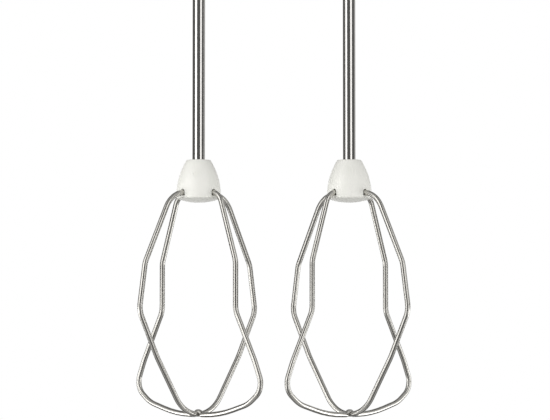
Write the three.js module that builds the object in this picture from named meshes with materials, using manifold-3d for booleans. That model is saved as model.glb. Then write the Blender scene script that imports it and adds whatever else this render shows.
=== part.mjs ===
// The pair of wire beaters of a hand mixer, standing side by side with the whisks down and the
// drive ends up. Each beater is a steel shaft, a two-piece plastic hub, a slotted steel disc that
// holds the wires inside the hub, and two bent wire loops that cross under the shaft's axis.
// Units are millimetres, +Z is up along the shafts, and the whisks' lowest points are at z = 0.

import * as THREE from "three";
import { mergeVertices } from "three/addons/utils/BufferGeometryUtils.js";
import Module from "manifold-3d";

const wasm = await Module();
wasm.setup();

// ---- Driving dimensions ----

const SHAFT_SPACING = 56.6; // between the two shafts' axes
const FIT_GAP = 0.15; // between two fixed pieces that seat on each other
const CLEARANCE = 0.3; // around a wire where it passes through another piece

const SHAFT_RADIUS = 2.4;
const SHAFT_TOP = 186;
const TIP_CHAMFER = 0.8;
const GROOVE_BOTTOM = 177; // the ring groove that the mixer's spring clicks into
const GROOVE_WIDTH = 2.2;
const GROOVE_DEPTH = 0.5;
const WING_BOTTOM = 160; // the pressed wings that key into the mixer's drive gear
const WING_TOP = 167;
const WING_REACH = 3.9;
const WING_THICKNESS = 1.3;
const WING_FOOT = 1; // height of the wings' lower shoulders
const WING_SHOULDER = 2; // height of their upper ones

const HUB_TOP = 96.4;
const HUB_TOP_RADIUS = 4.7;
const HUB_EDGE_ROUND = 0.4;
const HUB_RADIUS = 8.35;
const HUB_SHOULDER = 89.9; // where the side's slope would meet its widest radius
const HUB_STRAIGHT = 83.6; // below this height the side is almost straight
const HUB_RIM = 82;
const HUB_RIM_RADIUS = 8.25;
const CAVITY_RADIUS = 6.2;
const CAVITY_TOP = 90;
const DOME_RADIUS = 24; // of the hub base's underside
const SPIGOT_HEIGHT = 1;

const WIRE_RADIUS = 1;
const PORT_HEIGHT = 84.1; // of the wires' centrelines at the middle of the hub's wall
const PORT_RADIUS = (CAVITY_RADIUS + HUB_RADIUS) / 2;
const PORT_SLOPE = 0.2; // how steeply the wires fall on their way out through the wall
const HOOK_RADIUS = 4.6; // distance of each wire's hooked end from the axis
const HOOK_BEND = 2;
const HOOK_TOP = 89.4;
const HOOK_SLOT = WIRE_RADIUS + CLEARANCE; // half the width of a slot or notch that a wire passes

const DISC_BOTTOM = 86.4;
const DISC_THICKNESS = 2;
const DISC_RADIUS = 5.8;

const ARCH_RISE = 1.3; // how far the wide loop steps up to pass over the narrow loop
const ARCH_FOOT = 2.7;
const ARCH_CREST = 1.2;

const LOOP_PLANE = Math.PI / 4; // the loops stand at 45 degrees to the row of two beaters

// ---- Fineness of the curved surfaces ----

const TURNED_SIDES = 32;
const WIRE_SIDES = 12;
const BEND_STEP = THREE.MathUtils.degToRad(13); // most that a wire turns from one section to the next
const GENTLE_STEP = 6; // longest step along a bend, in millimetres
const PROFILE_STEPS = 7;

// ---- Materials ----

const shaftSteel = new THREE.MeshStandardMaterial({ color: 0xd4d3d0, roughness: 0.12, metalness: 1 });
const wireSteel = new THREE.MeshStandardMaterial({ color: 0xcdccc8, roughness: 0.2, metalness: 1 });
const discSteel = new THREE.MeshStandardMaterial({ color: 0xa9a9a7, roughness: 0.4, metalness: 1 });
const hubPlastic = new THREE.MeshStandardMaterial({ color: 0xe9e9e4, roughness: 0.4, metalness: 0 });

// ---- Solids ----

// A closed three.js geometry as a manifold solid, for cutting and joining.
function solidOf(geometry) {
  const bare = new THREE.BufferGeometry();
  bare.setAttribute("position", geometry.getAttribute("position"));
  bare.setIndex(geometry.index);
  const merged = mergeVertices(bare, 1e-4);
  const vertProperties = merged.getAttribute("position").array;
  const triVerts = new Uint32Array(merged.index.array);
  return new wasm.Manifold(new wasm.Mesh({ numProp: 3, vertProperties, triVerts }));
}

function geometryOf(solid) {
  const mesh = solid.getMesh();
  const geometry = new THREE.BufferGeometry();
  geometry.setAttribute("position", new THREE.BufferAttribute(mesh.vertProperties, 3));
  geometry.setIndex(new THREE.BufferAttribute(mesh.triVerts, 1));
  geometry.computeVertexNormals();
  return geometry;
}

const point = (radius, height) => new THREE.Vector2(radius, height);

// A profile of (radius, height) points turned about the vertical axis.
function turned(profile) {
  return new THREE.LatheGeometry(profile, TURNED_SIDES).rotateX(Math.PI / 2);
}

// An outline in x and z, given a thickness along y and centred on y = 0.
function plate(shape, thickness) {
  const geometry = new THREE.ExtrudeGeometry(shape, {
    depth: thickness,
    bevelEnabled: false,
    curveSegments: PROFILE_STEPS,
  });
  return geometry.translate(0, 0, -thickness / 2).rotateX(Math.PI / 2);
}

// ---- Bent wire ----

// A corner of a wire: distance from the shaft's axis, height, and centreline radius of the bend.
const corner = (radius, height, bend = 0) => ({ at: new THREE.Vector3(radius, 0, height), bend });

// The same corners on the other side of the axis, from the last back to the first.
const mirrored = (corners) => corners.map(({ at, bend }) => corner(-at.x, at.z, bend)).reverse();

// Points along one bend, from where it leaves the straight before it to where it meets the next.
function bendPoints(before, { at, bend }, after) {
  const incoming = at.clone().sub(before.at).normalize();
  const outgoing = after.at.clone().sub(at).normalize();
  const turn = incoming.angleTo(outgoing);
  const start = at.clone().addScaledVector(incoming, -bend * Math.tan(turn / 2));
  const inward = outgoing.clone().addScaledVector(incoming, -incoming.dot(outgoing)).normalize();
  const centre = start.clone().addScaledVector(inward, bend);
  const steps = Math.max(2, Math.ceil(turn / BEND_STEP), Math.ceil((bend * turn) / GENTLE_STEP));
  return Array.from({ length: steps + 1 }, (_, i) => {
    const angle = (turn * i) / steps;
    return centre
      .clone()
      .addScaledVector(inward, -bend * Math.cos(angle))
      .addScaledVector(incoming, bend * Math.sin(angle));
  });
}

// The centreline of a bent wire. Its parameter counts sections, so that they crowd where it bends.
class BentWire extends THREE.Curve {
  constructor(corners) {
    super();
    const bends = corners.slice(1, -1).map((bent, i) => {
      return bendPoints(corners[i], bent, corners[i + 2]);
    });
    this.stations = [corners[0].at, ...bends.flat(), corners.at(-1).at];
    this.steps = this.stations.length - 1;
  }

  getPointAt(u, target = new THREE.Vector3()) {
    return target.copy(this.stations[Math.round(u * this.steps)]);
  }

  getTangentAt(u, target = new THREE.Vector3()) {
    const i = Math.round(u * this.steps);
    const here = this.stations[i];
    const before = this.stations[Math.max(i - 1, 0)];
    const after = this.stations[Math.min(i + 1, this.steps)];
    const incoming = here.clone().sub(before).normalize();
    const outgoing = after.clone().sub(here).normalize();
    return target.addVectors(incoming, outgoing).normalize();
  }
}

function wireGeometry(corners, radius = WIRE_RADIUS) {
  const section = new THREE.Shape().absarc(0, 0, radius, 0, 2 * Math.PI);
  const path = new BentWire(corners);
  return new THREE.ExtrudeGeometry(section, {
    steps: path.steps,
    curveSegments: WIRE_SIDES / 2,
    bevelEnabled: false,
    extrudePath: path,
  });
}

// ---- The loops' centrelines ----

// Inside the hub both loops are the same: a hooked end that turns out through the hub's wall.
const portCorner = (radius, bend) => corner(radius, PORT_HEIGHT - PORT_SLOPE * (radius - PORT_RADIUS), bend);
const hookCorners = [corner(HOOK_RADIUS, HOOK_TOP), portCorner(HOOK_RADIUS, HOOK_BEND)];

const BELLY_TOP = 57.4; // the bend where both loops' upper legs end
const BELLY_BOTTOM = 39.7; // the bend where both loops' lower legs begin
const BELLY_BEND = 8;

// The narrow loop is widest at mid height and draws in to a round nose.
const narrowHalf = [
  ...hookCorners,
  portCorner(14.1, 10.5),
  corner(26.9, BELLY_TOP, BELLY_BEND),
  corner(29.75, BELLY_BOTTOM, BELLY_BEND),
  corner(20.9, 22.5, 30),
];
const narrowCorners = [...narrowHalf, corner(0, -10.2, 13.3), ...mirrored(narrowHalf)];

// The wide loop is waisted at mid height, flares to its widest near the bottom and is flat there.
// Over the narrow loop it steps up in a small arch.
const wideHalf = [
  ...hookCorners,
  portCorner(11.3, 6),
  corner(20, BELLY_TOP + 0.7, BELLY_BEND),
  corner(20, BELLY_BOTTOM, BELLY_BEND),
  corner(30.2, 21, 30),
  corner(34.5, 11, 6),
  corner(26.75, 5.25, 14),
  corner(11.4, WIRE_RADIUS, 56),
  corner(ARCH_FOOT, WIRE_RADIUS, 1.5),
  corner(ARCH_CREST, WIRE_RADIUS + ARCH_RISE, 1.5),
];
const wideCorners = [...wideHalf, ...mirrored(wideHalf)];

// ---- Sub-parts, each about its own beater's axis ----

function makeShaft() {
  const groove = SHAFT_RADIUS - GROOVE_DEPTH;
  const bottom = HUB_RIM + SPIGOT_HEIGHT + CLEARANCE;
  const rod = turned([
    point(0, bottom),
    point(SHAFT_RADIUS - TIP_CHAMFER / 2, bottom),
    point(SHAFT_RADIUS, bottom + TIP_CHAMFER / 2),
    point(SHAFT_RADIUS, GROOVE_BOTTOM - GROOVE_DEPTH),
    point(groove, GROOVE_BOTTOM),
    point(groove, GROOVE_BOTTOM + GROOVE_WIDTH),
    point(SHAFT_RADIUS, GROOVE_BOTTOM + GROOVE_WIDTH + GROOVE_DEPTH),
    point(SHAFT_RADIUS, SHAFT_TOP - TIP_CHAMFER),
    point(SHAFT_RADIUS - TIP_CHAMFER, SHAFT_TOP),
    point(0, SHAFT_TOP),
  ]);
  return geometryOf(solidOf(rod).add(solidOf(makeWings())));
}

// The two wings are one pressed blade through the rod, with sloping shoulders.
function makeWings() {
  const outline = new THREE.Shape();
  outline.moveTo(-SHAFT_RADIUS / 2, WING_BOTTOM);
  outline.lineTo(SHAFT_RADIUS / 2, WING_BOTTOM);
  outline.lineTo(WING_REACH, WING_BOTTOM + WING_FOOT);
  outline.lineTo(WING_REACH, WING_TOP - WING_SHOULDER);
  outline.lineTo(SHAFT_RADIUS / 2, WING_TOP);
  outline.lineTo(-SHAFT_RADIUS / 2, WING_TOP);
  outline.lineTo(-WING_REACH, WING_TOP - WING_SHOULDER);
  outline.lineTo(-WING_REACH, WING_BOTTOM + WING_FOOT);
  return plate(outline, WING_THICKNESS);
}

// A bell-shaped cap, bored for the shaft, hollow from below and notched where the wires leave.
function makeHubShell() {
  const bore = SHAFT_RADIUS + FIT_GAP;
  const rim = HUB_RIM + FIT_GAP;
  const side = new THREE.QuadraticBezierCurve(
    point(HUB_RADIUS, HUB_STRAIGHT),
    point(HUB_RADIUS, HUB_SHOULDER),
    point(HUB_TOP_RADIUS, HUB_TOP - HUB_EDGE_ROUND),
  );
  const shell = solidOf(
    turned([
      point(CAVITY_RADIUS, rim),
      point(HUB_RIM_RADIUS, rim),
      ...side.getPoints(PROFILE_STEPS),
      point(HUB_TOP_RADIUS - HUB_EDGE_ROUND, HUB_TOP),
      point(bore, HUB_TOP),
      point(bore, CAVITY_TOP),
      point(CAVITY_RADIUS, CAVITY_TOP),
      point(CAVITY_RADIUS, rim),
    ]),
  );
  const notch = new THREE.Shape();
  notch.moveTo(-HOOK_SLOT, HUB_RIM - HOOK_SLOT);
  notch.lineTo(HOOK_SLOT, HUB_RIM - HOOK_SLOT);
  notch.absarc(0, PORT_HEIGHT, HOOK_SLOT, 0, Math.PI);
  const acrossHub = plate(notch, 4 * HUB_RADIUS);
  const cut = (angle) => solidOf(acrossHub.clone().rotateZ(angle));
  return geometryOf(shell.subtract(cut(LOOP_PLANE)).subtract(cut(-LOOP_PLANE)));
}

// The domed base that closes the cap, with a spigot that centres it in the cap's cavity.
function makeHubBase() {
  const reach = Math.asin(HUB_RIM_RADIUS / DOME_RADIUS);
  const centre = HUB_RIM - FIT_GAP + DOME_RADIUS * Math.cos(reach);
  const dome = new THREE.ArcCurve(0, centre, DOME_RADIUS, -Math.PI / 2, reach - Math.PI / 2);
  const spigot = CAVITY_RADIUS - FIT_GAP;
  return turned([
    ...dome.getPoints(PROFILE_STEPS),
    point(HUB_RIM_RADIUS, HUB_RIM),
    point(spigot, HUB_RIM),
    point(spigot, HUB_RIM + SPIGOT_HEIGHT),
    point(0, HUB_RIM + SPIGOT_HEIGHT),
  ]);
}

// The disc pressed on the shaft, with four open slots that the wires' hooked ends stand in.
function makeAnchorDisc() {
  const bore = SHAFT_RADIUS + FIT_GAP;
  const disc = solidOf(
    turned([
      point(bore, DISC_BOTTOM),
      point(DISC_RADIUS, DISC_BOTTOM),
      point(DISC_RADIUS, DISC_BOTTOM + DISC_THICKNESS),
      point(bore, DISC_BOTTOM + DISC_THICKNESS),
      point(bore, DISC_BOTTOM),
    ]),
  );
  const outline = new THREE.Shape();
  outline.moveTo(DISC_RADIUS + 1, -HOOK_SLOT);
  outline.lineTo(DISC_RADIUS + 1, HOOK_SLOT);
  outline.absarc(HOOK_RADIUS, 0, HOOK_SLOT, Math.PI / 2, (3 * Math.PI) / 2);
  const slot = new THREE.ExtrudeGeometry(outline, {
    depth: 2 * DISC_THICKNESS,
    bevelEnabled: false,
    curveSegments: PROFILE_STEPS,
  });
  slot.translate(0, 0, DISC_BOTTOM - DISC_THICKNESS / 2);
  const quarters = [0, 1, 2, 3];
  const slotted = quarters.reduce((rest, quarter) => {
    return rest.subtract(solidOf(slot.clone().rotateZ(LOOP_PLANE + (quarter * Math.PI) / 2)));
  }, disc);
  return geometryOf(slotted);
}

function makeNarrowLoop() {
  return wireGeometry(narrowCorners);
}

// The arch is pressed down over the narrow loop, so its underside carries that wire's print.
function makeWideLoop() {
  const print = wireGeometry(narrowCorners, WIRE_RADIUS + CLEARANCE).rotateZ(Math.PI / 2);
  return geometryOf(solidOf(wireGeometry(wideCorners)).subtract(solidOf(print)));
}

// ---- The pair ----

const shapes = {
  shaft: { geometry: makeShaft(), material: shaftSteel },
  hub_shell: { geometry: makeHubShell(), material: hubPlastic },
  hub_base: { geometry: makeHubBase(), material: hubPlastic },
  anchor_disc: { geometry: makeAnchorDisc(), material: discSteel },
  narrow_loop: { geometry: makeNarrowLoop(), material: wireSteel, plane: LOOP_PLANE },
  wide_loop: { geometry: makeWideLoop(), material: wireSteel, plane: -LOOP_PLANE },
};

function makeBeater(side) {
  const beater = new THREE.Group();
  for (const [name, { geometry, material, plane = 0 }] of Object.entries(shapes)) {
    const mesh = new THREE.Mesh(geometry, material);
    mesh.name = `${side}_${name}`;
    mesh.rotation.z = plane;
    beater.add(mesh);
  }
  return beater;
}

const pair = new THREE.Group();
const left = makeBeater("left");
const right = makeBeater("right");
left.position.x = -SHAFT_SPACING / 2;
right.position.x = SHAFT_SPACING / 2;
right.rotation.z = Math.PI / 2; // the right beater stands a quarter turn from the left one
pair.add(left, right);

export default pair;
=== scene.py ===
# %% [markdown]
# # The two wire beaters of a hand mixer
#
# A beater is a polished steel rod with a whisk of bent wire at its lower end and a plastic hub that
# hides where the two meet. This lesson makes the finished surfaces of a pair of them around a fixed
# frame, in which every piece already has its place, its size and the body that it moves with.
# The frame comes first, because each new piece is measured from it and nothing is fitted by eye.

# %% Load the frame
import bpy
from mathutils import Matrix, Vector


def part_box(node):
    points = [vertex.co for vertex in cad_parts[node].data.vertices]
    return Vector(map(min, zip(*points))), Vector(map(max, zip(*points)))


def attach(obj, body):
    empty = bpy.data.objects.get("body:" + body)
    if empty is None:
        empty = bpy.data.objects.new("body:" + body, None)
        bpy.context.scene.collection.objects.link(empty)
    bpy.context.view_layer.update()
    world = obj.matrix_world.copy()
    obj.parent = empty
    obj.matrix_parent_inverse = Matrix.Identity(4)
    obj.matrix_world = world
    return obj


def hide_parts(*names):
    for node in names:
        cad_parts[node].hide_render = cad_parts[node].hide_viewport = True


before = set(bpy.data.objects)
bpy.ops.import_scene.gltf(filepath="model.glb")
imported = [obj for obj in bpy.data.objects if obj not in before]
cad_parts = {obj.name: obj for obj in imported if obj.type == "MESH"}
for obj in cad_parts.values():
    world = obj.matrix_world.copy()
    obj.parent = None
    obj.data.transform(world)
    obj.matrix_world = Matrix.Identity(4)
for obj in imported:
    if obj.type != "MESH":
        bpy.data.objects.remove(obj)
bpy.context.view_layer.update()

# %% [markdown]
# ## Measures taken from the frame
#
# Blender works in metres and a beater is drawn in millimetres, so each shape is modelled in
# millimetres about its own beater's axis. One matrix for each beater then shrinks it to metres and
# puts it in its place. Both beaters are the same product, and the right one stands a quarter turn
# round from the left one, so a shape is modelled once and placed twice.

# %% Measure the frame
import math

import bmesh
import bpy
from mathutils import Matrix, Vector

MM = 0.001
FULL_TURN = 2 * math.pi
SIDES = ("left", "right")


def extent(node):
    """A CAD node's lowest and highest corners, in millimetres."""
    low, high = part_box(node)
    return low / MM, high / MM


def place(side):
    """From millimetres about a beater's axis to metres where that beater stands."""
    low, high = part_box(f"{side}_shaft")
    quarter_turns = SIDES.index(side)
    axis = Matrix.Translation(((low.x + high.x) / 2, 0, 0))
    return axis @ Matrix.Rotation(quarter_turns * FULL_TURN / 4, 4, "Z") @ Matrix.Scale(MM, 4)


rod_low, rod_high = extent("left_shaft")
cap_low, cap_high = extent("left_hub_shell")
base_low, base_high = extent("left_hub_base")
print("rod reaches", round(rod_high.z, 1), "mm; hub from", round(base_low.z, 1), "to", round(cap_high.z, 1))

# %% [markdown]
# ## The camera
#
# The beaters are seen from straight in front and from far away with a long lens, so that the two
# look alike and their rods look parallel. The camera stands low, a little above the whisks' lowest
# points, and tilts up, so that the hubs' undersides just show and the rods leave the picture.

# %% Camera
EYE = Vector((0.4, -975, 27)) * MM
AIM = Vector((0.4, 0, 77.6)) * MM


def make_camera():
    lens = bpy.data.cameras.new("camera")
    lens.lens = 170.2
    camera = bpy.data.objects.new("camera", lens)
    bpy.context.scene.collection.objects.link(camera)
    camera.location = EYE
    camera.rotation_euler = (AIM - EYE).to_track_quat("-Z", "Y").to_euler()
    bpy.context.scene.camera = camera
    return camera


print("camera stands", round((AIM - make_camera().location).length, 3), "m away")

# %% [markdown]
# ## Nodes and colours
#
# Each material below is a small tree of nodes. One function adds a node of any kind: its settings
# are set by name, and each of its inputs takes either a plain value or another node's output.
# Colours are written as sRGB hex values, as a paint chart gives them, and turned to linear once.

# %% Node helpers
def add(tree, kind, inputs=(), **settings):
    """Adds a node, sets it up, and feeds its inputs from values or from other nodes' outputs."""
    made = tree.nodes.new(kind)
    for name, value in settings.items():
        setattr(made, name, value)
    for name, value in dict(inputs).items():
        if isinstance(value, bpy.types.NodeSocket):
            tree.links.new(value, made.inputs[name])
        else:
            made.inputs[name].default_value = value
    return made


def linear(hex_colour):
    """An sRGB hex colour as the linear values that a shader takes."""
    parts = [int(hex_colour[i : i + 2], 16) / 255 for i in (1, 3, 5)]
    return [*(c / 12.92 if c <= 0.04045 else ((c + 0.055) / 1.055) ** 2.4 for c in parts), 1]


def new_material(name):
    """An empty material, its node tree and the output that its shader goes to."""
    material = bpy.data.materials.new(name)
    material.use_nodes = True
    material.node_tree.nodes.clear()
    return material, material.node_tree


def show(tree, shader, kind="ShaderNodeOutputMaterial"):
    """Sends a finished shader to the material's surface."""
    add(tree, kind, {"Surface": shader.outputs[0]})


print("white paper is", [round(c, 2) for c in linear("#F4F4F2")])

# %% [markdown]
# ## Grain with a real size
#
# Drawing, polishing and moulding all leave marks with a size in millimetres. A noise texture has no
# unit, so a Mapping node first divides the surface's coordinates by the size of one mark, which may
# differ along each axis: long and narrow for a drawn wire, short all round for moulded grain.

# %% Grain
def grain(tree, coordinates, size, detail=2.0):
    """Noise whose marks are size millimetres long along each axis."""
    marks_per_metre = [1 / (length * MM) for length in size]
    stretch = add(tree, "ShaderNodeMapping", {"Vector": coordinates, "Scale": marks_per_metre})
    inputs = {"Vector": stretch.outputs[0], "Scale": 1.0, "Detail": detail}
    return add(tree, "ShaderNodeTexNoise", inputs).outputs[0]


def ramp(tree, value, low, high, start=0.25, end=0.75):
    """A noise value turned to a range of another quantity. Noise keeps mostly to its middle half."""
    spread = {"Value": value, "From Min": start, "From Max": end, "To Min": low, "To Max": high}
    return add(tree, "ShaderNodeMapRange", spread).outputs[0]


def relief(tree, height, microns, under=None):
    """Bump of a real height."""
    inputs = {"Height": height, "Strength": 1.0, "Distance": microns * MM * MM}
    if under is not None:
        inputs["Normal"] = under
    return add(tree, "ShaderNodeBump", inputs).outputs[0]


def tint(tree, share, first, second):
    """A colour between two hex colours."""
    inputs = {0: share, 6: linear(first), 7: linear(second)}
    return add(tree, "ShaderNodeMix", inputs, data_type="RGBA").outputs[2]


FINISHES = {}
print("a mark 0.3 mm long repeats", round(1 / (0.3 * MM)), "times in a metre")

# %% [markdown]
# ## Polished stainless rod
#
# The rod is stainless steel, centreless ground and then polished between felt wheels while it
# spins. That leaves a mirror with a trace of rings around it, and use adds short scuffs along it
# where it slides in and out of the mixer's socket. To the eye it is a row of sharp upright bands,
# one for each light and each dark stretch of the room.

# %% Rod steel
def rod_steel():
    material, tree = new_material("polished stainless rod")
    surface = add(tree, "ShaderNodeTexCoord").outputs["Object"]
    # The wheels' rings are some 0.02 mm apart. They are drawn at 0.4 mm, as fine as can show.
    rings = grain(tree, surface, (6, 6, 0.4))
    scuffs = grain(tree, surface, (0.25, 0.25, 9), detail=4.0)
    dulling = add(tree, "ShaderNodeMath", {0: rings, 1: scuffs}, operation="MULTIPLY").outputs[0]
    shader = add(
        tree,
        "ShaderNodeBsdfPrincipled",
        {
            "Base Color": tint(tree, ramp(tree, scuffs, 0, 1), "#D6D4D1", "#CFCDC9"),
            "Metallic": 1.0,
            "Roughness": ramp(tree, dulling, 0.08, 0.16, start=0.12, end=0.42),
            "Normal": relief(tree, scuffs, 0.1, under=relief(tree, rings, 0.06)),
        },
    )
    show(tree, shader)
    return material


FINISHES["shaft_steel"] = rod_steel()
print("finished", FINISHES["shaft_steel"].name)

# %% [markdown]
# ## Bright drawn stainless wire
#
# The whisks are bent from stainless wire that was pulled through a die. The die leaves fine lines
# along the wire, and the wire keeps them round every bend, so the pattern can't follow the room: it
# has to follow the wire. Each wire therefore carries an attribute called straightened, with where a
# point would be if the wire were still straight, and another called pinched, which is one where
# the bending pins gripped it and rubbed its shine away.

# %% Wire steel
def wire_steel():
    material, tree = new_material("bright drawn stainless wire")
    straight = add(tree, "ShaderNodeAttribute", attribute_name="straightened").outputs["Vector"]
    pinched = add(tree, "ShaderNodeAttribute", attribute_name="pinched").outputs["Fac"]
    # A die's lines are about 0.03 mm apart. They are drawn at 0.25 mm, as fine as can show.
    lines = grain(tree, straight, (0.25, 0.25, 16), detail=2.0)
    patches = grain(tree, straight, (1.6, 1.6, 5))
    worn = add(tree, "ShaderNodeMath", {0: pinched, 1: patches}, operation="MULTIPLY").outputs[0]
    dull = add(tree, "ShaderNodeMath", {0: lines, 1: worn}, operation="ADD").outputs[0]
    shader = add(
        tree,
        "ShaderNodeBsdfPrincipled",
        {
            "Base Color": tint(tree, ramp(tree, patches, 0, 1), "#C3C1BC", "#BAB8B2"),
            "Metallic": 1.0,
            "Roughness": ramp(tree, dull, 0.16, 0.28, start=0.3, end=1.1),
            "Normal": relief(tree, lines, 0.05, under=relief(tree, patches, 1)),
        },
    )
    show(tree, shader)
    return material


FINISHES["wire_steel"] = wire_steel()
print("finished", FINISHES["wire_steel"].name)

# %% [markdown]
# ## Moulded polypropylene
#
# The hub is white polypropylene, a little warm because the plastic is natural milky stock with
# white pigment in it. The mould was spark eroded, which gives a fine even grain and a satin sheen,
# and the plastic shrank as it set, so that its broad faces wander by about a hundredth.

# %% Hub plastic
def hub_plastic():
    material, tree = new_material("moulded polypropylene")
    surface = add(tree, "ShaderNodeTexCoord").outputs["Object"]
    # Spark erosion's grain is some 0.05 mm across. It is drawn at 0.3 mm, as fine as can show.
    sparks = grain(tree, surface, (0.3, 0.3, 0.3), detail=3.0)
    shrinkage = grain(tree, surface, (3.2, 3.2, 4.5), detail=1.0)
    shader = add(
        tree,
        "ShaderNodeBsdfPrincipled",
        {
            "Base Color": tint(tree, ramp(tree, shrinkage, 0, 1), "#F1F0EA", "#EDEDE6"),
            "Roughness": ramp(tree, sparks, 0.36, 0.44),
            "IOR": 1.49,
            "Normal": relief(tree, sparks, 0.6, under=relief(tree, shrinkage, 14)),
        },
    )
    show(tree, shader)
    return material


FINISHES["hub_plastic"] = hub_plastic()
print("finished", FINISHES["hub_plastic"].name)

# %% [markdown]
# ## Stamped steel
#
# The anchor disc inside each hub is stamped from plain sheet and tumbled to take its burrs off. It
# keeps the mill's grey and a random scatter of small dents. The frame's own mesh is right for it,
# so it only needs its material.

# %% Disc steel
def disc_steel():
    material, tree = new_material("tumbled sheet steel")
    surface = add(tree, "ShaderNodeTexCoord").outputs["Object"]
    dents = grain(tree, surface, (0.5, 0.5, 0.5), detail=3.0)
    shader = add(
        tree,
        "ShaderNodeBsdfPrincipled",
        {
            "Base Color": tint(tree, ramp(tree, dents, 0, 1), "#A9A9A7", "#8F8F8C"),
            "Metallic": 1.0,
            "Roughness": ramp(tree, dents, 0.32, 0.48),
            "Normal": relief(tree, dents, 6),
        },
    )
    show(tree, shader)
    return material


FINISHES["disc_steel"] = disc_steel()
print("finished", FINISHES["disc_steel"].name)

# %% [markdown]
# ## From a shape to a piece
#
# A shape becomes a piece in the same steps every time: its mesh is put in place, shaded smooth but
# for its real edges, and given its finish. The piece then rides on its beater's body, and takes the
# place of the plain CAD node that it stands for.

# %% Settle a piece
SHARP = math.radians(32)


def settle(shape, name, node, slot):
    """Places a shape on both beaters, as NAME in place of NODE, and gives it its finish."""
    bmesh.ops.recalc_face_normals(shape, faces=shape.faces[:])
    open_edges = sum(not edge.is_manifold for edge in shape.edges)
    for side in SIDES:
        mesh = bpy.data.meshes.new(f"{side}_{name}")
        shape.to_mesh(mesh)
        mesh.transform(place(side))
        mesh.shade_smooth()
        mesh.set_sharp_from_angle(angle=SHARP)
        mesh.materials.append(FINISHES[slot])
        piece = bpy.data.objects.new(f"{side}_{name}", mesh)
        bpy.context.scene.collection.objects.link(piece)
        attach(piece, f"{side}_beater")
        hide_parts(f"{side}_{node}")
    print(name, "has", len(shape.faces), "faces and", open_edges, "open edges")
    shape.free()


# %% [markdown]
# ## Turned shapes
#
# The rod, the hub's cap and its base are all round, so each starts as an outline on one side of the
# axis, spun through a full turn as on a lathe. Spinning with use_merge joins the last copy to the
# first, and merging doubles closes the poles. Sharp rings are rounded afterwards with a bevel,
# because a real edge always has a radius and it is the radius that catches the light.

# %% Spin and round
def turned(outline, sides):
    """Spins a (radius, height) outline about the axis into a closed shape."""
    shape = bmesh.new()
    corners = [shape.verts.new((radius, 0, height)) for radius, height in outline]
    lines = [shape.edges.new(pair) for pair in zip(corners, corners[1:])]
    if outline[0][0] > 0:
        lines.append(shape.edges.new((corners[-1], corners[0])))
    bmesh.ops.spin(
        shape,
        geom=corners + lines,
        cent=(0, 0, 0),
        axis=(0, 0, 1),
        angle=FULL_TURN,
        steps=sides,
        use_merge=True,
    )
    bmesh.ops.remove_doubles(shape, verts=shape.verts[:], dist=1e-4)
    bmesh.ops.recalc_face_normals(shape, faces=shape.faces[:])
    return shape


def round_edges(shape, edges, width, segments=3):
    """Bevels edges to a round, WIDTH millimetres across each face."""
    bmesh.ops.bevel(
        shape,
        geom=edges,
        offset=width,
        affect="EDGES",
        segments=segments,
        profile=0.5,
        material=-1,
        clamp_overlap=True,
    )


def ring_edges(shape, radius, height):
    """The edges of the ring at one radius and height."""

    def on_ring(vert):
        return abs(vert.co.xy.length - radius) < 0.01 and abs(vert.co.z - height) < 0.01

    return [edge for edge in shape.edges if all(on_ring(vert) for vert in edge.verts)]


# %% [markdown]
# ## The rod
#
# The rod is plain down to the hub. Its upper end is what the mixer holds: a chamfered tip that
# finds the socket, a ring groove that a spring clicks into, and two wings that the drive gear
# turns. The wings are pressed out of the rod itself, so they are extruded from its own side faces,
# and no joint shows where they leave it.

# %% Rod
ROD_RADIUS = rod_high.y
ROD_SIDES = 64
TIP_CHAMFER = 0.8
GROOVE_BOTTOM = rod_high.z - 9
GROOVE_WIDTH = 2.2
GROOVE_DEPTH = 0.5
WING_BOTTOM = rod_high.z - 26
WING_TOP = rod_high.z - 19
WING_REACH = (rod_high.x - rod_low.x) / 2
WING_FOOT = 1
WING_SHOULDER = 2


def press_wing(shape, way):
    """Draws one wing out of the side of the rod that faces along +X or -X."""
    half_width = 1.5 * FULL_TURN / ROD_SIDES

    def in_wing(face):
        centre = face.calc_center_median()
        across = abs(math.atan2(centre.y, way * centre.x))
        return WING_BOTTOM < centre.z < WING_TOP and across < half_width

    side = [face for face in shape.faces if in_wing(face)]
    grown = bmesh.ops.extrude_face_region(shape, geom=side)["geom"]
    bmesh.ops.delete(shape, geom=side, context="FACES")
    for vert in (part for part in grown if isinstance(part, bmesh.types.BMVert)):
        vert.co.x = way * WING_REACH
        vert.co.z += WING_FOOT if vert.co.z < (WING_BOTTOM + WING_TOP) / 2 else -WING_SHOULDER
    rim = {edge for part in grown if isinstance(part, bmesh.types.BMFace) for edge in part.edges}
    round_edges(shape, [edge for edge in rim if edge.calc_face_angle(0) > SHARP], 0.3)


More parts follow.
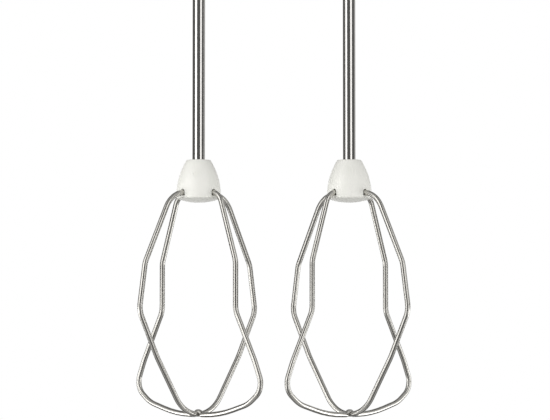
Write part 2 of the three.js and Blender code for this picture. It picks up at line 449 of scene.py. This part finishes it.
def make_rod():
    groove = ROD_RADIUS - GROOVE_DEPTH
    shape = turned(
        [
            (0, rod_low.z),
            (ROD_RADIUS - TIP_CHAMFER / 2, rod_low.z),
            (ROD_RADIUS, rod_low.z + TIP_CHAMFER / 2),
            (ROD_RADIUS, WING_BOTTOM),
            (ROD_RADIUS, WING_TOP),
            (ROD_RADIUS, GROOVE_BOTTOM - GROOVE_DEPTH),
            (groove, GROOVE_BOTTOM),
            (groove, GROOVE_BOTTOM + GROOVE_WIDTH),
            (ROD_RADIUS, GROOVE_BOTTOM + GROOVE_WIDTH + GROOVE_DEPTH),
            (ROD_RADIUS, rod_high.z - TIP_CHAMFER),
            (ROD_RADIUS - TIP_CHAMFER, rod_high.z),
            (0, rod_high.z),
        ],
        ROD_SIDES,
    )
    for way in (-1, 1):
        press_wing(shape, way)
    for height in (GROOVE_BOTTOM - GROOVE_DEPTH, GROOVE_BOTTOM + GROOVE_WIDTH + GROOVE_DEPTH):
        round_edges(shape, ring_edges(shape, ROD_RADIUS, height), 0.2)
    for height in (GROOVE_BOTTOM, GROOVE_BOTTOM + GROOVE_WIDTH):
        round_edges(shape, ring_edges(shape, groove, height), 0.2)
    round_edges(shape, ring_edges(shape, ROD_RADIUS, rod_high.z - TIP_CHAMFER), 0.25)
    round_edges(shape, ring_edges(shape, ROD_RADIUS - TIP_CHAMFER, rod_high.z), 0.2)
    return shape


settle(make_rod(), "polished_rod", "shaft", "shaft_steel")

# %% [markdown]
# ## Cutting and joining shapes
#
# The cap's notches are cut out of it and the base's tabs are joined to it with the Boolean
# modifier, which needs objects. The blank and each tool therefore become objects for a moment, and
# the result comes back as a bmesh.

# %% Combine
def as_object(shape, name):
    mesh = bpy.data.meshes.new(name)
    shape.to_mesh(mesh)
    shape.free()
    made = bpy.data.objects.new(name, mesh)
    bpy.context.scene.collection.objects.link(made)
    return made


def combine(shape, others, operation):
    """Takes other shapes away from a shape, or joins them to it."""
    blank = as_object(shape, "blank")
    tools = [as_object(other, "tool") for other in others]
    for tool in tools:
        step = blank.modifiers.new("combine", "BOOLEAN")
        step.operation = operation
        step.solver = "EXACT"
        step.object = tool
    finished = bmesh.new()
    finished.from_object(blank, bpy.context.evaluated_depsgraph_get())
    for leftover in (blank, *tools):
        bpy.data.objects.remove(leftover)
    bmesh.ops.remove_doubles(finished, verts=finished.verts[:], dist=1e-4)
    return finished


# %% [markdown]
# ## The hub's cap
#
# The cap is a bell: nearly straight where the wires leave it, then drawing in on one smooth curve
# to a small flat top around the rod. That side is a quadratic Bezier curve with only three points,
# which keeps the slope continuous. Four notches let the wires out, rounded at the top to seat on
# the wire. A round gate mark on the front shows where the plastic entered the mould.

# %% Cap
HUB_SIDES = 96
CAP_TOP_RADIUS = 4.5
HUB_RADIUS = cap_high.y
HUB_RIM = base_high.z - 1
RIM_RADIUS = HUB_RADIUS - 0.1
STRAIGHT_TOP = HUB_RIM + 1.6
SHOULDER = HUB_RIM + 7.9
CAVITY_RADIUS = 6.2
CAVITY_TOP = HUB_RIM + 8
BORE = ROD_RADIUS + 0.03
SIDE_STEPS = 18
SEAM = 0.02
WIRE_RADIUS = 1.0
PORT_HEIGHT = HUB_RIM + 2.1
NOTCH_HALF_WIDTH = WIRE_RADIUS + 0.12
GATE_RADIUS = 0.8
GATE_DEPTH = 0.14
GATE_PLACE = 0.565
GATE_OFFSET = 1.0


def cap_side(share):
    """A point (radius, height) on the cap's side, from where it stops being straight to its top."""
    foot = Vector((HUB_RADIUS, STRAIGHT_TOP))
    pull = Vector((HUB_RADIUS, SHOULDER))
    top = Vector((CAP_TOP_RADIUS, cap_high.z))
    return foot * (1 - share) ** 2 + pull * 2 * share * (1 - share) + top * share**2


def notch_cutter(angle):
    """A bar across the whole hub, round on top and straight down through the rim."""
    shape = bmesh.new()
    upright = Matrix.Translation((0, -2 * HUB_RADIUS, PORT_HEIGHT)) @ Matrix.Rotation(FULL_TURN / 4, 4, "X")
    bmesh.ops.create_circle(shape, cap_ends=True, radius=NOTCH_HALF_WIDTH, segments=32, matrix=upright)
    for vert in shape.verts:
        if vert.co.z < PORT_HEIGHT - 1e-4:
            vert.co.z -= 2 * WIRE_RADIUS
    far_end = bmesh.ops.extrude_face_region(shape, geom=shape.faces[:])["geom"]
    ends = [part for part in far_end if isinstance(part, bmesh.types.BMVert)]
    bmesh.ops.translate(shape, verts=ends, vec=(0, 4 * HUB_RADIUS, 0))
    bmesh.ops.rotate(shape, verts=shape.verts[:], cent=(0, 0, 0), matrix=Matrix.Rotation(angle, 3, "Z"))
    bmesh.ops.recalc_face_normals(shape, faces=shape.faces[:])
    return shape


def gate_cutter():
    """A round bar, 2 mm long, that just enters the cap's front, square to its slope."""
    spot, ahead = cap_side(GATE_PLACE), cap_side(GATE_PLACE + 0.01)
    lean = math.atan2(spot.x - ahead.x, ahead.y - spot.y)
    outward = Vector((-GATE_OFFSET / spot.x, -math.cos(lean), math.sin(lean))).normalized()
    centre = Vector((-GATE_OFFSET, -math.sqrt(spot.x**2 - GATE_OFFSET**2), spot.y))
    centre += outward * (1 - GATE_DEPTH)
    aim = Matrix.Translation(centre) @ outward.to_track_quat("Z", "Y").to_matrix().to_4x4()
    shape = bmesh.new()
    bmesh.ops.create_cone(
        shape, cap_ends=True, radius1=GATE_RADIUS, radius2=GATE_RADIUS, depth=2, segments=32, matrix=aim
    )
    return shape


def make_cap():
    rim = HUB_RIM + SEAM
    outline = [(CAVITY_RADIUS, rim), (RIM_RADIUS, rim)]
    outline += [tuple(cap_side(step / SIDE_STEPS)) for step in range(SIDE_STEPS + 1)]
    outline += [(BORE, cap_high.z), (BORE, CAVITY_TOP), (CAVITY_RADIUS, CAVITY_TOP)]
    shape = turned(outline, HUB_SIDES)
    round_edges(shape, ring_edges(shape, CAP_TOP_RADIUS, cap_high.z), 0.35, segments=4)
    round_edges(shape, ring_edges(shape, BORE, cap_high.z), 0.15)
    round_edges(shape, ring_edges(shape, RIM_RADIUS, rim), 0.12)
    quarter = FULL_TURN / 8
    return combine(shape, [notch_cutter(quarter), notch_cutter(-quarter), gate_cutter()], "DIFFERENCE")


settle(make_cap(), "hub_cap", "hub_shell", "hub_plastic")

# %% [markdown]
# ## The hub's base
#
# The base closes the bell from below. Its underside is a shallow dome, part of a large sphere, and
# a spigot centres it in the cap. Its rounded rim and the cap's make a fine seam all round the hub.
# Four tabs stand up from it, fill the notches under the wires and clamp them. They stop a little
# short of the cap's surface, so that they read as a faint step and not as a dark hole.

# %% Base
DOME_RADIUS = 24
DOME_STEPS = 14
BASE_RIM_HEIGHT = 0.15
TAB_ROOT = CAVITY_RADIUS - 0.8
TAB_REACH = HUB_RADIUS - 0.25
TAB_TOP = PORT_HEIGHT - WIRE_RADIUS - 0.3
TAB_WIDTH = 2 * NOTCH_HALF_WIDTH - 0.08


def clamp_tab(angle):
    """A block that stands on the base's rim and fills one notch."""
    shape = bmesh.new()
    height = TAB_TOP - HUB_RIM + BASE_RIM_HEIGHT / 2
    size = Matrix.Diagonal((TAB_REACH - TAB_ROOT, TAB_WIDTH, height, 1))
    middle = Matrix.Translation(((TAB_REACH + TAB_ROOT) / 2, 0, TAB_TOP - height / 2))
    bmesh.ops.create_cube(shape, size=1, matrix=Matrix.Rotation(angle, 4, "Z") @ middle @ size)
    upper = [edge for edge in shape.edges if all(vert.co.z > TAB_TOP - 0.01 for vert in edge.verts)]
    round_edges(shape, upper, 0.1, segments=2)
    return shape


def make_base():
    reach = math.asin(RIM_RADIUS / DOME_RADIUS)
    centre = HUB_RIM - BASE_RIM_HEIGHT + DOME_RADIUS * math.cos(reach)
    angles = [reach * step / DOME_STEPS for step in range(DOME_STEPS + 1)]
    outline = [(DOME_RADIUS * math.sin(a), centre - DOME_RADIUS * math.cos(a)) for a in angles]
    spigot = CAVITY_RADIUS - SEAM
    outline += [(RIM_RADIUS, HUB_RIM), (spigot, HUB_RIM), (spigot, base_high.z), (0, base_high.z)]
    shape = turned(outline, HUB_SIDES)
    round_edges(shape, ring_edges(shape, RIM_RADIUS, HUB_RIM), 0.05, segments=2)
    tabs = [clamp_tab(FULL_TURN * (0.125 + 0.25 * corner)) for corner in range(4)]
    return combine(shape, tabs, "UNION")


settle(make_base(), "hub_dome", "hub_base", "hub_plastic")

# %% [markdown]
# ## Bending wire
#
# A wire former feeds straight wire forward and swings it round a pin wherever it has to turn. The
# same two moves make the wire here: feed extrudes the open ring at its end straight ahead, and
# bend spins that ring about the pin. The ring stays a perfect circle all the way, so the wire keeps
# its thickness in every bend, which a curve with a bevel does not promise.
#
# As it grows, each ring writes down how much wire has been fed, for the material's drawn lines.

# %% Wire former
WIRE_SIDES = 40
BEND_STEP = math.radians(5)
PINCHED_BEND = 12


class WireFormer:
    """Grows a wire from one end, ring by ring. The wire lies in the plane y = 0."""

    def __init__(self, start, direction, radius):
        self.shape = bmesh.new()
        self.straightened = self.shape.verts.layers.float_vector.new("straightened")
        self.pinched = self.shape.verts.layers.float.new("pinched")
        self.direction, self.at, self.fed = direction, start, 0.0
        facing = Matrix.Translation(start) @ direction.to_track_quat("Z", "Y").to_matrix().to_4x4()
        bmesh.ops.create_circle(self.shape, radius=radius, segments=WIRE_SIDES, matrix=facing)
        self.ring = self.shape.edges[:]
        self.close()
        for number, vert in enumerate(self.shape.verts):
            turn = FULL_TURN * number / WIRE_SIDES
            vert[self.straightened] = Vector((math.cos(turn), math.sin(turn), 0)) * radius * MM

    def close(self):
        """Puts a flat end on the wire's open ring."""
        bmesh.ops.edgeloop_fill(self.shape, edges=self.ring)

    def mark(self, ring, fed, pinched):
        self.ring = [part for part in ring if isinstance(part, bmesh.types.BMEdge)]
        self.fed += fed
        for vert in {vert for edge in self.ring for vert in edge.verts}:
            vert[self.straightened].z = self.fed * MM
            vert[self.pinched] = pinched

    def feed(self, distance):
        ahead = bmesh.ops.extrude_edge_only(self.shape, edges=self.ring)["geom"]
        verts = [part for part in ahead if isinstance(part, bmesh.types.BMVert)]
        bmesh.ops.translate(self.shape, verts=verts, vec=self.direction * distance)
        front = set(verts)
        edges = {edge for vert in verts for edge in vert.link_edges if set(edge.verts) <= front}
        self.mark(edges, distance, 0.0)
        self.at = self.at + self.direction * distance

    def bend(self, turn, axis, radius):
        pin = self.at + axis.cross(self.direction) * radius
        steps = max(2, math.ceil(turn / BEND_STEP))
        for _ in range(steps):
            swung = bmesh.ops.spin(
                self.shape,
                geom=self.ring,
                cent=pin,
                axis=axis,
                angle=turn / steps,
                steps=1,
                use_duplicate=False,
            )
            self.mark(swung["geom_last"], radius * turn / steps, float(radius < PINCHED_BEND))
        swing = Matrix.Rotation(turn, 3, axis)
        self.at = pin + swing @ (self.at - pin)
        self.direction = swing @ self.direction


def bent_wire(corners, radius=WIRE_RADIUS):
    """A wire through corners given as (distance from the axis, height, bend radius)."""
    points = [Vector((across, 0, height)) for across, height, _ in corners]
    former = WireFormer(points[0], (points[1] - points[0]).normalized(), radius)
    for corner, after, (_, _, bend) in zip(points[1:], points[2:], corners[1:-1]):
        leaving = (after - corner).normalized()
        turn = former.direction.angle(leaving)
        former.feed((corner - former.at).length - bend * math.tan(turn / 2))
        former.bend(turn, former.direction.cross(leaving).normalized(), bend)
    former.feed((points[-1] - former.at).length)
    former.close()
    return former.shape


# %% [markdown]
# ## The loops' shapes
#
# Each whisk has two loops, and a loop is the same on both sides of the axis, so only half of its
# corners are written down. Inside the hub both are alike: a hook that stands in the anchor disc,
# then a bend out through the hub's wall. Outside, the narrow loop is widest at mid height, and the
# wide loop is waisted there and flares out to its flat bottom.

# %% Corners
HOOK_RADIUS = 4.6
HOOK_TOP = HUB_RIM + 7.4
WALL_MIDDLE = (CAVITY_RADIUS + HUB_RADIUS) / 2
PORT_SLOPE = 0.2
BELLY_TOP = 57.4
BELLY_BOTTOM = 39.7
BELLY_BEND = 8
NOSE_BEND = 13.3
ARCH_RISE = 1.0
ARCH_BEND = 1.05


def port_corner(across, bend):
    """A corner on the line that both loops leave the hub along."""
    return (across, PORT_HEIGHT - PORT_SLOPE * (across - WALL_MIDDLE), bend)


def whole_loop(half, nose=()):
    """A half's corners, the nose's, and the half's again on the other side, from its end to its start."""
    return [*half, *nose, *((-across, height, bend) for across, height, bend in reversed(half))]


hook = [(HOOK_RADIUS, HOOK_TOP, 0), port_corner(HOOK_RADIUS, 2)]
narrow_corners = whole_loop(
    [
        *hook,
        port_corner(14.1, 10.5),
        (26.9, BELLY_TOP, BELLY_BEND),
        (29.75, BELLY_BOTTOM, BELLY_BEND),
        (20.9, 22.5, 30),
    ],
    nose=[(0, -10.2, NOSE_BEND)],
)
wide_corners = whole_loop(
    [
        *hook,
        port_corner(11.3, 6),
        (20, BELLY_TOP + 0.7, BELLY_BEND),
        (20, BELLY_BOTTOM, BELLY_BEND),
        (30.2, 21, 30),
        (34.5, 11, 6),
        (26.75, 5.25, 14),
        (11.4, WIRE_RADIUS, 56),
        (1.75, WIRE_RADIUS, ARCH_BEND),
        (0.7, WIRE_RADIUS + ARCH_RISE, ARCH_BEND),
    ]
)
print("narrow loop", len(narrow_corners), "corners, wide loop", len(wide_corners))

# %% [markdown]
# ## The crossing
#
# The narrow loop's nose runs under the wide loop, which steps up over it in a small arch. In the
# press the arch is squeezed down onto the nose, so its underside is flattened to the other wire's
# round. Here each point of the wide wire that would be inside the narrow one is pushed straight out
# to just above its surface, which is what the press does, and the two stay clear of each other.

# %% Press the arch
PRINT_RADIUS = WIRE_RADIUS + 0.2


def press_over_nose(shape):
    """Pushes a wire in the plane y = 0 off the nose that crosses under it in the plane x = 0."""
    nose_centre = WIRE_RADIUS + NOSE_BEND
    pressed = 0
    for vert in shape.verts:
        x, y, z = vert.co
        across = math.hypot(y, z - nose_centre)
        off_line = Vector((x, across - NOSE_BEND))
        if z < 2 * WIRE_RADIUS + ARCH_RISE and off_line.length < PRINT_RADIUS:
            clear = off_line.normalized() * PRINT_RADIUS
            scale = (NOSE_BEND + clear.y) / across
            vert.co = Vector((clear.x, y * scale, nose_centre + (z - nose_centre) * scale))
            pressed += 1
    print("pressed", pressed, "points of the arch")


def stand(shape, angle):
    bmesh.ops.rotate(shape, verts=shape.verts[:], cent=(0, 0, 0), matrix=Matrix.Rotation(angle, 3, "Z"))
    return shape


narrow = bent_wire(narrow_corners)
wide = bent_wire(wide_corners)
press_over_nose(wide)
settle(stand(narrow, FULL_TURN / 8), "narrow_wire", "narrow_loop", "wire_steel")
settle(stand(wide, -FULL_TURN / 8), "wide_wire", "wide_loop", "wire_steel")

# %% [markdown]
# ## The anchor discs
#
# The discs keep the frame's own meshes, and only take their finish.

# %% Discs
for side in SIDES:
    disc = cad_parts[f"{side}_anchor_disc"]
    disc.data.materials.clear()
    disc.data.materials.append(FINISHES["disc_steel"])
    print(disc.name, "finished")

# %% [markdown]
# ## The studio
#
# Polished steel shows nothing of its own: it shows the room. A dark room with two tall softboxes
# close in front gives each rod its dark edges, two bright bands and a dark middle. Lower panels at
# the sides light the bottoms of the whisks. The beaters hang over pale paper, and behind them the
# room is white, so that the camera sees them against plain white.
#
# A softbox is an area light. It is given by how bright its face looks, because that is what the
# steel mirrors, and its power follows from its size. The fill is there for the white hubs alone, so
# mirrors don't see it.

# %% Softboxes
def around(azimuth, distance, height):
    """A place in the studio. Azimuth 0 is in front of the beaters, and 90 is to their right."""
    turn = math.radians(azimuth)
    return Vector((distance * math.sin(turn), -distance * math.cos(turn), height))


def softbox(name, stands, width, height, brightness, faces_height=None):
    """A rectangle of light that faces the beaters' middle, level unless it has to face a height."""
    light = bpy.data.lights.new(name, "AREA")
    light.shape = "RECTANGLE"
    light.size, light.size_y = width, height
    light.energy = brightness * math.pi * width * height
    made = bpy.data.objects.new(name, light)
    bpy.context.scene.collection.objects.link(made)
    aim = Vector((0, 0, stands.z if faces_height is None else faces_height))
    made.location = stands
    made.rotation_euler = (aim - stands).to_track_quat("-Z", "Y").to_euler()
    made.visible_camera = False
    print(name, "gives", round(light.energy, 2), "W")
    return made


softbox("softbox_front_left", around(-52, 0.35, 0.15), 0.2, 0.54, 2.0)
softbox("softbox_front_right", around(38.5, 0.35, 0.15), 0.17, 0.54, 1.5)
softbox("panel_left", around(-92, 0.38, -0.08), 0.14, 0.24, 3.6)
softbox("panel_right", around(92, 0.38, -0.08), 0.14, 0.24, 3.6)
softbox("panel_back_right", around(122, 0.4, 0.15), 0.2, 0.54, 0.5)
fill = softbox("fill_front", around(-14, 0.7, 0.02), 0.6, 0.5, 1.35, faces_height=0.09)
fill.visible_glossy = False

# %% [markdown]
# The room itself is the world. At the beaters' own level it is nearly black, which draws a thin dark
# line along both edges of every upright wire. Above and below that level it is pale, like a ceiling
# and a table, but for a dim strip straight ahead where the camera stands, so that a leaning wire
# shows the same bands as an upright one. The walls at the sides are the brightest, for the wires
# that run across, and straight behind the beaters the room is white. The camera alone sees plain
# white everywhere, as a sheet of backdrop paper would give.

# %% Room
DARK_ROOM = 0.12
DIM_ROOM = 0.14
PALE_ROOM = 0.55
SIDE_WALLS = 1.2
WHITE_BEHIND = 1.0
# Where one stretch of the room fades into the next, in degrees off level, off square or off centre.
LEVEL_EDGE = (8, 16)
STRIP_EDGE = (-68, -58)
BACK_EDGE = (5, 17)
WALL_EDGE = (55, 70)
BEHIND_EDGE = (52, 62)


def fade(tree, reach, low, high, edge):
    """Fades between two brightnesses as a direction's reach along an axis passes two angles."""
    start, end = (math.sin(math.radians(angle)) for angle in edge)
    return ramp(tree, reach, low, high, start, end)


def both(tree, first, second, operation="MULTIPLY"):
    return add(tree, "ShaderNodeMath", {0: first, 1: second}, operation=operation).outputs[0]


def size_of(tree, value):
    return add(tree, "ShaderNodeMath", {0: value}, operation="ABSOLUTE").outputs[0]


def make_room():
    world = bpy.data.worlds.new("studio")
    bpy.context.scene.world = world
    world.use_nodes = True
    tree = world.node_tree
    tree.nodes.clear()
    direction = add(tree, "ShaderNodeTexCoord").outputs["Generated"]
    split = add(tree, "ShaderNodeSeparateXYZ", {"Vector": direction})
    across, away, up = split.outputs
    flat = add(tree, "ShaderNodeVectorMath", {0: direction, 1: (1, 1, 0)}, operation="MULTIPLY")
    heading = add(tree, "ShaderNodeVectorMath", {0: flat.outputs[0]}, operation="NORMALIZE")
    facing = add(tree, "ShaderNodeSeparateXYZ", {"Vector": heading.outputs[0]}).outputs["Y"]
    off_level = fade(tree, size_of(tree, up), 0, 1, LEVEL_EDGE)
    beside = fade(tree, facing, 0, 1, STRIP_EDGE)
    before = fade(tree, away, 1, 0, BACK_EDGE)
    lit = both(tree, both(tree, beside, before), off_level)
    unlit = ramp(tree, off_level, DARK_ROOM, DIM_ROOM, start=0, end=1)
    pale = fade(tree, size_of(tree, across), PALE_ROOM, SIDE_WALLS, WALL_EDGE)
    front = ramp(tree, lit, unlit, pale, start=0, end=1)
    behind = fade(tree, away, 0, WHITE_BEHIND, BEHIND_EDGE)
    glow = both(tree, front, behind, "MAXIMUM")
    room = add(tree, "ShaderNodeBackground", {"Color": (1, 1, 1, 1), "Strength": glow})
    backdrop = add(tree, "ShaderNodeBackground", {"Color": (1, 1, 1, 1), "Strength": 1.0})
    seen = add(tree, "ShaderNodeLightPath").outputs["Is Camera Ray"]
    studio = add(tree, "ShaderNodeMixShader", {"Fac": seen, 1: room.outputs[0], 2: backdrop.outputs[0]})
    show(tree, studio, "ShaderNodeOutputWorld")
    print("the room has", len(tree.nodes), "nodes")


make_room()

# %% [markdown]
# ## The floor
#
# The floor is a wide sheet of pale matte paper, far enough below the beaters to stay out of sight
# from in front. It glows a little, so that it looks evenly lit to its far edge. Neither mirrors nor
# bounced light see it, and it leaves the steel and the hubs as the room alone lights them.

# %% Floor
FLOOR_HEIGHT = -0.35
FLOOR_RADIUS = 8.0


def floor_paper():
    material, tree = new_material("matte backdrop paper")
    surface = add(tree, "ShaderNodeTexCoord").outputs["Object"]
    fibres = grain(tree, surface, (0.8, 0.8, 0.8), detail=4.0)
    shader = add(
        tree,
        "ShaderNodeBsdfPrincipled",
        {
            "Base Color": tint(tree, ramp(tree, fibres, 0, 1), "#F7F7F5", "#F3F3F1"),
            "Roughness": 0.95,
            "Emission Color": (1.0, 1.0, 0.99, 1.0),
            "Emission Strength": 0.5,
            "Normal": relief(tree, fibres, 20),
        },
    )
    show(tree, shader)
    return material


def make_floor():
    shape = bmesh.new()
    level = Matrix.Translation((0, 0, FLOOR_HEIGHT))
    bmesh.ops.create_circle(shape, cap_ends=True, radius=FLOOR_RADIUS, segments=64, matrix=level)
    floor = as_object(shape, "paper_floor")
    floor.data.materials.append(floor_paper())
    floor.visible_glossy = False
    floor.visible_diffuse = False


make_floor()
bpy.context.scene.view_settings.view_transform = "Standard"
print("floor lies", round(-FLOOR_HEIGHT / MM), "mm below the beaters")
